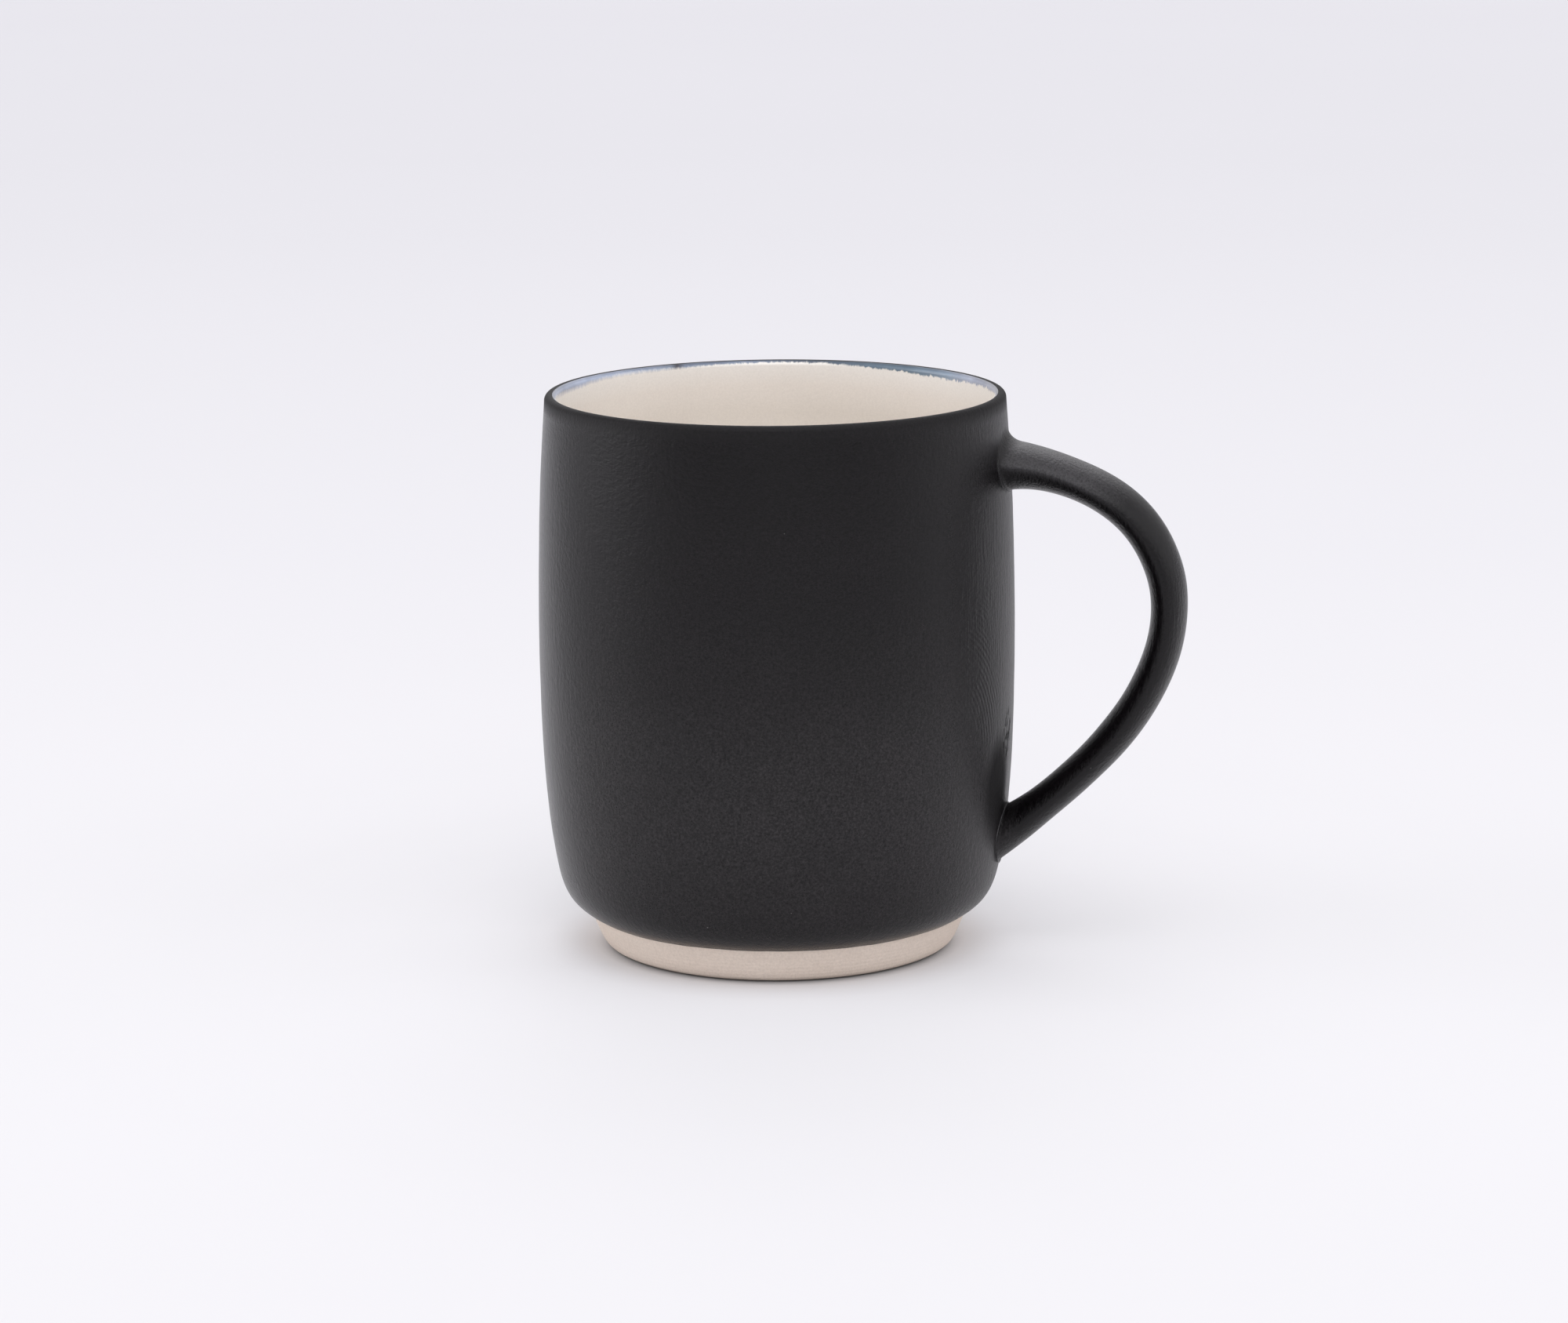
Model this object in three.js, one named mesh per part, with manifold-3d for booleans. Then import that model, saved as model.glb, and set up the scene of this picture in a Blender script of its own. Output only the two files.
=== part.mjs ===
// Stoneware mug: a turned clay cup with a short bare foot, a pulled strap handle luted on
// with slip at its two ends, a matt black coat outside, a pale glaze liner inside, and the
// narrow band at the lip where the liner overlaps the black coat.
// Millimetres, +Z up. The origin is the centre of the flat foot, on the cup's axis.
// The handle lies in the XZ plane, on the +X side.
import * as THREE from "three";
import { mergeVertices } from "three/addons/utils/BufferGeometryUtils.js";
import Module from "manifold-3d";

// ---------- driving dimensions ----------
const HEIGHT = 98.46; // foot to lip
const LIP_R = 1.04; // radius of the rounded lip
const COAT_T = 0.4; // thickness of each fired coat or glaze layer
const FIT_GAP = 0.25; // clearance between two layers that touch on the real mug
const SLIP_T = 0.8; // thickness of the luting slip under each handle end
const SEGMENTS = 48; // facets round the cup
const COAT_FOOT_Z = 6.4; // the black coat's lower edge
const HANDLE_STATIONS = 20; // rings along the handle
const HANDLE_SIDES = 14; // facets round the strap

// Outside of the black coat, [radius, height], from its lower edge to the start of the lip.
const OUTSIDE = [
  [33.9, COAT_FOOT_Z],
  [35.68, 7.49],
  [37.36, 9.13],
  [38.68, 11.86],
  [39.52, 15.5],
  [40.24, 20.05],
  [40.96, 26.42],
  [41.58, 35.53],
  [41.92, 46.45],
  [42.0, 57.37],
  [41.83, 68.3],
  [41.51, 79.22],
  [41.03, 88.32],
  [40.65, 93.78],
  [40.39, HEIGHT - LIP_R],
];
// Inside of the pale liner, [radius, height], from the lip to the centre of the floor.
const INSIDE = [
  [38.31, HEIGHT - LIP_R],
  [38.24, 93.6],
  [38.4, 84.0],
  [38.6, 68.0],
  [38.55, 52.0],
  [38.2, 36.0],
  [37.5, 23.5],
  [36.3, 16.2],
  [33.8, 11.2],
  [29.4, 8.3],
  [22.0, 7.0],
  [11.0, 6.4],
  [0.0, 6.2],
];
// The bare foot, [radius, height], from the centre of its flat underside upward.
const FOOT = [
  [0.0, 0.0],
  [29.25, 0.0],
  [30.65, 0.38],
  [31.53, 1.2],
  [32.55, 3.4],
  [33.58, 6.08],
];
const LIP_BAND_Z = 95.9; // lower edge of the overlap band, inside the lip

// The strap handle: [x, z, half thickness, half breadth], from the upper joint down.
const HANDLE = [
  [36.6, 86.46, 4.75, 8.1],
  [41.46, 86.41, 4.3, 7.6],
  [45.63, 86.02, 3.8, 7.15],
  [49.6, 85.2, 3.52, 6.85],
  [53.4, 83.96, 3.4, 6.7],
  [57.01, 82.32, 3.36, 6.6],
  [60.39, 80.18, 3.37, 6.5],
  [63.43, 77.48, 3.38, 6.45],
  [65.9, 74.25, 3.33, 6.4],
  [67.72, 70.62, 3.24, 6.35],
  [68.87, 66.78, 3.15, 6.3],
  [69.36, 62.86, 3.08, 6.3],
  [69.22, 58.97, 3.02, 6.25],
  [68.55, 55.2, 2.98, 6.2],
  [67.41, 51.57, 2.96, 6.15],
  [65.91, 48.09, 2.95, 6.1],
  [64.1, 44.78, 2.95, 6.0],
  [62.05, 41.64, 2.95, 5.9],
  [59.82, 38.71, 2.94, 5.8],
  [57.46, 35.96, 2.93, 5.7],
  [54.99, 33.38, 2.92, 5.6],
  [52.42, 30.9, 2.93, 5.5],
  [49.74, 28.5, 2.96, 5.4],
  [46.91, 26.14, 3.07, 5.4],
  [43.94, 23.88, 3.3, 5.45],
  [40.9, 21.75, 3.55, 5.5],
  [36.4, 18.7, 3.9, 5.6],
];

const wasm = await Module();
wasm.setup();

// ---------- profile helpers ----------
const v2 = (p) => new THREE.Vector2(p[0], p[1]);

// Moves an open profile sideways by d: positive to the right of its direction of travel.
function offset(points, d) {
  return points.map((p, i) => {
    const a = points[Math.max(i - 1, 0)],
      b = points[Math.min(i + 1, points.length - 1)];
    const t = b.clone().sub(a).normalize();
    return new THREE.Vector2(p.x + t.y * d, p.y - t.x * d);
  });
}

// The part of the rounded lip from angle a0 to a1, in degrees, 0 outside and 180 inside.
function lipArc(a0, a1, radius, steps) {
  const out = [];
  for (let i = 0; i <= steps; i++) {
    const a = THREE.MathUtils.degToRad(a0 + ((a1 - a0) * i) / steps);
    out.push(
      new THREE.Vector2(
        39.35 + radius * Math.cos(a),
        HEIGHT - LIP_R + radius * Math.sin(a),
      ),
    );
  }
  return out;
}

// A lathe solid from a profile, whose faces point outward whichever way the profile runs.
function lathe(profile) {
  const pts = profile.map((p) => p.clone());
  let area = 0;
  pts.forEach((p, i) => {
    const q = pts[(i + 1) % pts.length];
    area += p.x * q.y - q.x * p.y;
  });
  if (area < 0) pts.reverse();
  const closes = pts[0].x > 1e-6 || pts[pts.length - 1].x > 1e-6;
  if (closes) pts.push(pts[0].clone());
  const g = new THREE.LatheGeometry(pts, SEGMENTS);
  g.rotateX(Math.PI / 2); // the lathe's own axis is Y
  return g;
}

// ---------- solids ----------
function weld(g) {
  const c = g.clone();
  c.deleteAttribute("normal");
  c.deleteAttribute("uv");
  return mergeVertices(c, 1e-4);
}
function solid(g) {
  const m = weld(g);
  return new wasm.Manifold(
    new wasm.Mesh({
      numProp: 3,
      vertProperties: new Float32Array(m.attributes.position.array),
      triVerts: new Uint32Array(m.index.array),
    }),
  );
}
function geometryOf(s) {
  const m = s.getMesh();
  const g = new THREE.BufferGeometry();
  const n = m.numProp;
  const p = new Float32Array(m.numVert * 3);
  for (let i = 0; i < m.numVert; i++)
    p.set(m.vertProperties.subarray(i * n, i * n + 3), i * 3);
  g.setAttribute("position", new THREE.BufferAttribute(p, 3));
  g.setIndex(new THREE.BufferAttribute(new Uint32Array(m.triVerts), 1));
  g.computeVertexNormals();
  return g;
}

// The strap as a loft: an ellipse carried along the handle's curve, `inset` mm inside the
// finished surface, growing and shrinking with the stations.
function strap(inset) {
  const path = new THREE.CatmullRomCurve3(
    HANDLE.map((h) => new THREE.Vector3(h[0], 0, h[1])),
    false,
    "centripetal",
  );
  const size = new THREE.CatmullRomCurve3(
    HANDLE.map((h) => new THREE.Vector3(h[2], h[3], 0)),
    false,
    "catmullrom",
  );
  const n = HANDLE.length - 1;
  const section = new THREE.EllipseCurve(0, 0, 1, 1, 0, 2 * Math.PI);
  const ring = section.getPoints(HANDLE_SIDES).slice(0, HANDLE_SIDES);
  const pos = [];
  const index = [];
  for (let k = 0; k < HANDLE_STATIONS; k++) {
    const u = k / (HANDLE_STATIONS - 1);
    const c = path.getPoint(u);
    const t = path.getTangent(u);
    const s = size.getPoint(u);
    const out = new THREE.Vector3(t.z, 0, -t.x).negate(); // away from the cup
    for (const q of ring) {
      const a = q.x * (s.x - inset),
        b = q.y * (s.y - inset);
      pos.push(c.x + out.x * a, b, c.z + out.z * a);
    }
  }
  const S = HANDLE_SIDES;
  for (let k = 0; k < HANDLE_STATIONS - 1; k++)
    for (let i = 0; i < S; i++) {
      const a = k * S + i,
        b = k * S + ((i + 1) % S),
        c = a + S,
        d = b + S;
      index.push(a, c, b, b, c, d);
    }
  const first = pos.length / 3;
  pos.push(HANDLE[0][0], 0, HANDLE[0][1]);
  pos.push(HANDLE[n][0], 0, HANDLE[n][1]);
  const last = (HANDLE_STATIONS - 1) * S;
  for (let i = 0; i < S; i++) {
    index.push(first, i, (i + 1) % S);
    index.push(first + 1, last + ((i + 1) % S), last + i);
  }
  const g = new THREE.BufferGeometry();
  g.setAttribute("position", new THREE.Float32BufferAttribute(pos, 3));
  g.setIndex(index);
  let s = solid(g);
  if (s.volume() < 0) {
    for (let i = 0; i < index.length; i += 3)
      [index[i + 1], index[i + 2]] = [index[i + 2], index[i + 1]];
    g.setIndex(index);
    s = solid(g);
  }
  return s;
}

// A solid of revolution that fills the cup's outline, grown by `out` mm.
function filled(out) {
  const side = offset(OUTSIDE.map(v2), out);
  const low = side[0];
  const high = side[side.length - 1];
  return solid(
    lathe([
      new THREE.Vector2(0, low.y - 1.5),
      new THREE.Vector2(low.x - 1.5, low.y - 1.5),
      ...side,
      new THREE.Vector2(high.x, HEIGHT + 2),
      new THREE.Vector2(0, HEIGHT + 2),
    ]),
  );
}

// ---------- the pieces ----------
const LAYER = COAT_T + FIT_GAP; // from a finished surface to the clay under it
const outer = OUTSIDE.map(v2);
const inside = INSIDE.map(v2);

// The clay cup: foot, wall and floor are one thrown and turned piece.
const clayOut = offset(outer, -LAYER).filter((p) => p.y > FOOT[5][1] + 0.25);
const clayIn = offset(inside, -LAYER);
clayIn[clayIn.length - 1].x = 0;
const clayCup = solid(
  lathe([
    ...FOOT.map(v2),
    ...clayOut.slice(0, -1),
    ...lipArc(0, 180, LIP_R - LAYER, 4),
    ...clayIn.slice(1),
  ]),
);

// The black coat, from just above the foot, up the outside and over the lip's crest.
const coatShell = solid(
  lathe([
    ...outer.slice(0, -1),
    ...lipArc(0, 80, LIP_R, 3),
    ...lipArc(80, 0, LIP_R - COAT_T, 3),
    ...offset(outer, -COAT_T).slice(1, -1).reverse(),
    new THREE.Vector2(outer[0].x - 0.12, outer[0].y + 0.42),
  ]),
);

const clayStrap = strap(LAYER);
const coatHole = strap(LAYER - FIT_GAP); // the coat stops round the handle's clay
const padOut = filled(-LAYER + FIT_GAP + SLIP_T);
const slipShell = padOut.subtract(filled(-LAYER + FIT_GAP));
const clayHandle = clayStrap.subtract(filled(-LAYER + 2 * FIT_GAP + SLIP_T));
const slips = clayStrap.intersect(slipShell).decompose();
const centreZ = (s) => {
  const b = s.boundingBox();
  return (b.min[2] + b.max[2]) / 2;
};
const pads = slips.filter((s) => s.volume() > 5 && s.boundingBox().max[0] > 30);
pads.sort((a, b) => centreZ(b) - centreZ(a));

const coatCup = coatShell.subtract(coatHole);
const coatHandle = strap(0).subtract(strap(COAT_T)).subtract(filled(FIT_GAP));

// The pale liner inside, up to the overlap band.
const linerIn = inside.filter((p) => p.y < LIP_BAND_Z - 0.6);
const top = new THREE.Vector2(38.26, LIP_BAND_Z - FIT_GAP);
const liner = solid(
  lathe([
    top,
    ...linerIn,
    ...offset([top, ...linerIn], -COAT_T)
      .reverse()
      .map((p, i) => (i === 0 ? new THREE.Vector2(0, p.y) : p)),
  ]),
);

// The overlap band, from the lip's crest to a little way down the inside.
const band = solid(
  lathe([
    ...lipArc(104, 180, LIP_R, 3),
    new THREE.Vector2(38.26, LIP_BAND_Z),
    new THREE.Vector2(38.26 + COAT_T, LIP_BAND_Z),
    ...lipArc(180, 104, LIP_R - COAT_T, 3),
  ]),
);

// ---------- the scene graph ----------
function mesh(name, s, color, roughness) {
  const m = new THREE.Mesh(
    geometryOf(s),
    new THREE.MeshStandardMaterial({ color, roughness, metalness: 0 }),
  );
  m.name = name;
  return m;
}
const mug = new THREE.Group();
const clay = new THREE.Group();
const handle = new THREE.Group();
const coats = new THREE.Group();
clay.add(mesh("clay_cup", clayCup, 0xcbbdb0, 0.85));
handle.add(mesh("clay_handle", clayHandle, 0xcbbdb0, 0.85));
handle.add(mesh("upper_slip_joint", pads[0], 0xc0b2a4, 0.9));
handle.add(mesh("lower_slip_joint", pads[pads.length - 1], 0xc0b2a4, 0.9));
coats.add(mesh("black_coat_cup", coatCup, 0x2b292a, 0.55));
coats.add(mesh("black_coat_handle", coatHandle, 0x2b292a, 0.55));
coats.add(mesh("liner_glaze", liner, 0xe4d8cc, 0.15));
coats.add(mesh("lip_glaze_overlap", band, 0x77889a, 0.2));
mug.add(clay, handle, coats);

export default mug;
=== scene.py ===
import math

import bpy
import numpy as np
from mathutils import Matrix, Vector, noise


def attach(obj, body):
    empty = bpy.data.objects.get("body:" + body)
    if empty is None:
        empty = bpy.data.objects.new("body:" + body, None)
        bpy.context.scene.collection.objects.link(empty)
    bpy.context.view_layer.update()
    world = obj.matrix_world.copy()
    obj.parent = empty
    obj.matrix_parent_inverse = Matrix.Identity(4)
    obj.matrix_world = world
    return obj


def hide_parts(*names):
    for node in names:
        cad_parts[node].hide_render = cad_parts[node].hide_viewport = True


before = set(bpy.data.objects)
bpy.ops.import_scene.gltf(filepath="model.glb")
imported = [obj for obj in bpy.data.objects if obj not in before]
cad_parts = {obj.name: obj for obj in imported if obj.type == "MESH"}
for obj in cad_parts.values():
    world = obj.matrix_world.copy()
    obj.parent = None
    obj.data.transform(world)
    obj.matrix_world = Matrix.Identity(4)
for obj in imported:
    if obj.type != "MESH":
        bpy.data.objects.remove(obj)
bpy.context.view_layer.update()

MM = 0.001
LIP_C = (39.35, 97.42)  # centre of the rounded lip, radius and height in mm
LIP_R = 1.04
COAT = 0.4  # thickness of the fired coat, mm

OUTSIDE = [
    (33.9, 6.4), (35.68, 7.49), (37.36, 9.13), (38.68, 11.86), (39.52, 15.5), (40.24, 20.05),
    (40.96, 26.42), (41.58, 35.53), (41.92, 46.45), (42.0, 57.37), (41.83, 68.3), (41.51, 79.22),
    (41.03, 88.32), (40.65, 93.78), (40.39, 97.42),
]
INSIDE = [
    (38.31, 97.42), (38.24, 93.6), (38.4, 84.0), (38.6, 68.0), (38.55, 52.0), (38.2, 36.0),
    (37.5, 23.5), (36.3, 16.2), (33.8, 11.2), (29.4, 8.3), (22.0, 7.0), (11.0, 6.4), (0.0, 6.2),
]
# The handle: x, z, half thickness, half breadth, from the upper joint down.
HANDLE = [
    (36.6, 86.46, 4.75, 8.1), (41.46, 86.41, 4.3, 7.6), (45.63, 86.02, 3.8, 7.15),
    (49.59, 85.16, 3.48, 6.85), (53.38, 83.9, 3.33, 6.7), (56.99, 82.28, 3.32, 6.6),
    (60.39, 80.18, 3.37, 6.5), (63.45, 77.5, 3.4, 6.45), (65.94, 74.28, 3.38, 6.4),
    (67.79, 70.65, 3.32, 6.35), (69, 66.81, 3.28, 6.3), (69.44, 62.86, 3.21, 6.3),
    (69.25, 58.97, 3.15, 6.25), (68.57, 55.19, 3.15, 6.2), (67.45, 51.56, 3.2, 6.15),
    (65.96, 48.07, 3.21, 6.1), (64.18, 44.73, 3.17, 6), (62.13, 41.58, 3.15, 5.9),
    (59.9, 38.64, 3.15, 5.8), (57.53, 35.89, 3.13, 5.7), (55.06, 33.31, 3.09, 5.6),
    (52.51, 30.81, 3.06, 5.5), (49.85, 28.37, 3.04, 5.4), (47.06, 25.96, 3.13, 5.4),
    (44.12, 23.64, 3.4, 5.45), (41.09, 21.47, 3.69, 5.5), (36.6, 18.41, 4.05, 5.6),
]


# ---------------------------------------------------------------- curves
class Spline:
    """Natural cubic spline through points, by chord length."""

    def __init__(self, pts):
        self.P = np.array(pts, float)
        d = np.sqrt(((self.P[1:, :2] - self.P[:-1, :2]) ** 2).sum(1))
        self.s = np.r_[0, np.cumsum(d)]
        n = len(self.s)
        h = np.diff(self.s)
        A = np.zeros((n, n))
        B = np.zeros((n, self.P.shape[1]))
        A[0, 0] = A[-1, -1] = 1
        for i in range(1, n - 1):
            A[i, i - 1], A[i, i], A[i, i + 1] = h[i - 1], 2 * (h[i - 1] + h[i]), h[i]
            B[i] = 6 * ((self.P[i + 1] - self.P[i]) / h[i] - (self.P[i] - self.P[i - 1]) / h[i - 1])
        self.M = np.linalg.solve(A, B)
        self.length = self.s[-1]

    def at(self, u):
        u = np.asarray(u, float)
        i = np.clip(np.searchsorted(self.s, u) - 1, 0, len(self.s) - 2)
        h = (self.s[i + 1] - self.s[i])[..., None]
        a = (self.s[i + 1] - u)[..., None]
        b = (u - self.s[i])[..., None]
        return (
            self.M[i] * a**3 / (6 * h)
            + self.M[i + 1] * b**3 / (6 * h)
            + (self.P[i] / h - self.M[i] * h / 6) * a
            + (self.P[i + 1] / h - self.M[i + 1] * h / 6) * b
        )


def smooth_profile(pts, n):
    sp = Spline(pts)
    return sp.at(np.linspace(0, sp.length, n))


def arc(c, r, a0, a1, n):
    a = np.radians(np.linspace(a0, a1, n))
    return np.stack([c[0] + r * np.cos(a), c[1] + r * np.sin(a)], 1)


def side_step(P, d):
    """Moves a profile sideways by d mm, positive to the right of its direction."""
    T = np.gradient(P, axis=0)
    T /= np.linalg.norm(T, axis=1)[:, None] + 1e-12
    return P + d * np.stack([T[:, 1], -T[:, 0]], 1)


OUT = smooth_profile(OUTSIDE, 150)
INN = smooth_profile(INSIDE, 130)
INN[-1, 0] = 0.0
OUT_Z, OUT_R = OUT[:, 1].copy(), OUT[:, 0].copy()


def wall(z):
    return np.interp(z, OUT_Z, OUT_R)


# ---------------------------------------------------------------- meshes
def wobble(x, y, z, amp, size, seed):
    """Smooth noise in mm at a point in mm."""
    return amp * noise.noise(Vector((x / size + seed, y / size - seed, z / size)))


def make_mesh(name, verts, faces, sharp=None, material=None):
    me = bpy.data.meshes.new(name)
    me.from_pydata([tuple(v) for v in (np.asarray(verts) * MM)], [], faces)
    me.polygons.foreach_set("use_smooth", [True] * len(me.polygons))
    if sharp:
        keys = {tuple(sorted(e)) for e in sharp}
        flags = [tuple(sorted(e.vertices)) in keys for e in me.edges]
        at = me.attributes.get("sharp_edge") or me.attributes.new("sharp_edge", "BOOLEAN", "EDGE")
        at.data.foreach_set("value", flags)
    me.validate()
    me.update()
    ob = bpy.data.objects.new(name, me)
    bpy.context.scene.collection.objects.link(ob)
    if material:
        me.materials.append(material)
    return ob


def lathe(name, prof, nseg, material, sharp_at=(), shift=None):
    """A closed solid of revolution. prof runs counter-clockwise in (r, z); r = 0 points are poles.
    shift(r, a, z, i) gives a small radial and vertical move in mm."""
    prof = [tuple(p) for p in prof]
    pole0, pole1 = prof[0][0] < 1e-9, prof[-1][0] < 1e-9
    verts, rows = [], []
    ang = [2 * math.pi * j / nseg for j in range(nseg)]
    for i, (r, z) in enumerate(prof):
        if (i == 0 and pole0) or (i == len(prof) - 1 and pole1):
            rows.append([len(verts)] * nseg)
            verts.append((0.0, 0.0, z))
            continue
        row = []
        for a in ang:
            dr, dz = shift(r, a, z, i) if shift else (0.0, 0.0)
            row.append(len(verts))
            verts.append(((r + dr) * math.cos(a), (r + dr) * math.sin(a), z + dz))
        rows.append(row)
    faces, sharp = [], []
    n = len(rows)
    last = n - 1 if (pole0 and pole1) else n
    for i in range(last):
        A, B = rows[i], rows[(i + 1) % n]
        for j in range(nseg):
            k = (j + 1) % nseg
            f = [A[j], A[k], B[k], B[j]]
            g = []
            for v in f:
                if v not in g:
                    g.append(v)
            if len(g) > 2:
                faces.append(g)
    for i in sharp_at:
        row = rows[i % n]
        sharp += [(row[j], row[(j + 1) % nseg]) for j in range(nseg)]
    return make_mesh(name, verts, faces, sharp, material)


# ---------------------------------------------------------------- node helpers
def new_material(name):
    m = bpy.data.materials.new(name)
    m.use_nodes = True
    nt = m.node_tree
    nt.nodes.clear()
    out = nt.nodes.new("ShaderNodeOutputMaterial")
    b = nt.nodes.new("ShaderNodeBsdfPrincipled")
    nt.links.new(b.outputs[0], out.inputs[0])
    return m, nt, b


def N(nt, kind, **kw):
    n = nt.nodes.new(kind)
    for k, v in kw.items():
        if k in n.bl_rna.properties and not n.bl_rna.properties[k].is_readonly and k not in n.inputs:
            setattr(n, k, v)
        else:
            n.inputs[k].default_value = v
    return n


def L(nt, a, b):
    nt.links.new(a, b)


def math_node(nt, op, a, b=None, c=None, clamp=False):
    n = nt.nodes.new("ShaderNodeMath")
    n.operation = op
    n.use_clamp = clamp
    for i, v in enumerate((a, b, c)):
        if v is None:
            continue
        if isinstance(v, (int, float)):
            n.inputs[i].default_value = v
        else:
            nt.links.new(v, n.inputs[i])
    return n.outputs[0]


def mapped(nt, scale):
    tc = nt.nodes.new("ShaderNodeTexCoord")
    mp = nt.nodes.new("ShaderNodeMapping")
    mp.inputs["Scale"].default_value = scale
    nt.links.new(tc.outputs["Object"], mp.inputs["Vector"])
    return mp.outputs[0]


def noise_tex(nt, vec, scale, detail=3.0, rough=0.55, distortion=0.0):
    n = nt.nodes.new("ShaderNodeTexNoise")
    n.inputs["Scale"].default_value = scale
    n.inputs["Detail"].default_value = detail
    n.inputs["Roughness"].default_value = rough
    n.inputs["Distortion"].default_value = distortion
    nt.links.new(vec, n.inputs["Vector"])
    return n.outputs["Fac"]


def ramp(nt, fac, stops, interp="LINEAR"):
    n = nt.nodes.new("ShaderNodeValToRGB")
    n.color_ramp.interpolation = interp
    el = n.color_ramp.elements
    el[0].position, el[0].color = stops[0][0], (*stops[0][1], 1)
    el[1].position, el[1].color = stops[-1][0], (*stops[-1][1], 1)
    for p, c in stops[1:-1]:
        e = el.new(p)
        e.color = (*c, 1)
    nt.links.new(fac, n.inputs[0])
    return n.outputs[0]


def mix_color(nt, fac, a, b, blend="MIX"):
    n = nt.nodes.new("ShaderNodeMix")
    n.data_type = "RGBA"
    n.blend_type = blend
    for sock, v in ((n.inputs[0], fac), (n.inputs[6], a), (n.inputs[7], b)):
        if isinstance(v, (int, float)):
            sock.default_value = v
        elif isinstance(v, tuple):
            sock.default_value = (*v, 1) if len(v) == 3 else v
        else:
            nt.links.new(v, sock)
    return n.outputs[2]


def bump(nt, height, distance, strength=1.0, normal=None):
    n = nt.nodes.new("ShaderNodeBump")
    n.inputs["Strength"].default_value = strength
    n.inputs["Distance"].default_value = distance
    nt.links.new(height, n.inputs["Height"])
    if normal is not None:
        nt.links.new(normal, n.inputs["Normal"])
    return n.outputs[0]


def spot(nt, vec, at, size):
    """1 at a point, falling smoothly to 0 at size (x, y, z) metres from it."""
    sub = nt.nodes.new("ShaderNodeVectorMath")
    sub.operation = "SUBTRACT"
    nt.links.new(vec, sub.inputs[0])
    sub.inputs[1].default_value = at
    div = nt.nodes.new("ShaderNodeVectorMath")
    div.operation = "DIVIDE"
    nt.links.new(sub.outputs[0], div.inputs[0])
    div.inputs[1].default_value = size
    ln = nt.nodes.new("ShaderNodeVectorMath")
    ln.operation = "LENGTH"
    nt.links.new(div.outputs[0], ln.inputs[0])
    inv = math_node(nt, "SUBTRACT", 1.0, ln.outputs["Value"], clamp=True)
    return math_node(nt, "SMOOTH_MIN", math_node(nt, "MULTIPLY", inv, 2.0, clamp=True), 1.0, 0.3)


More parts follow.
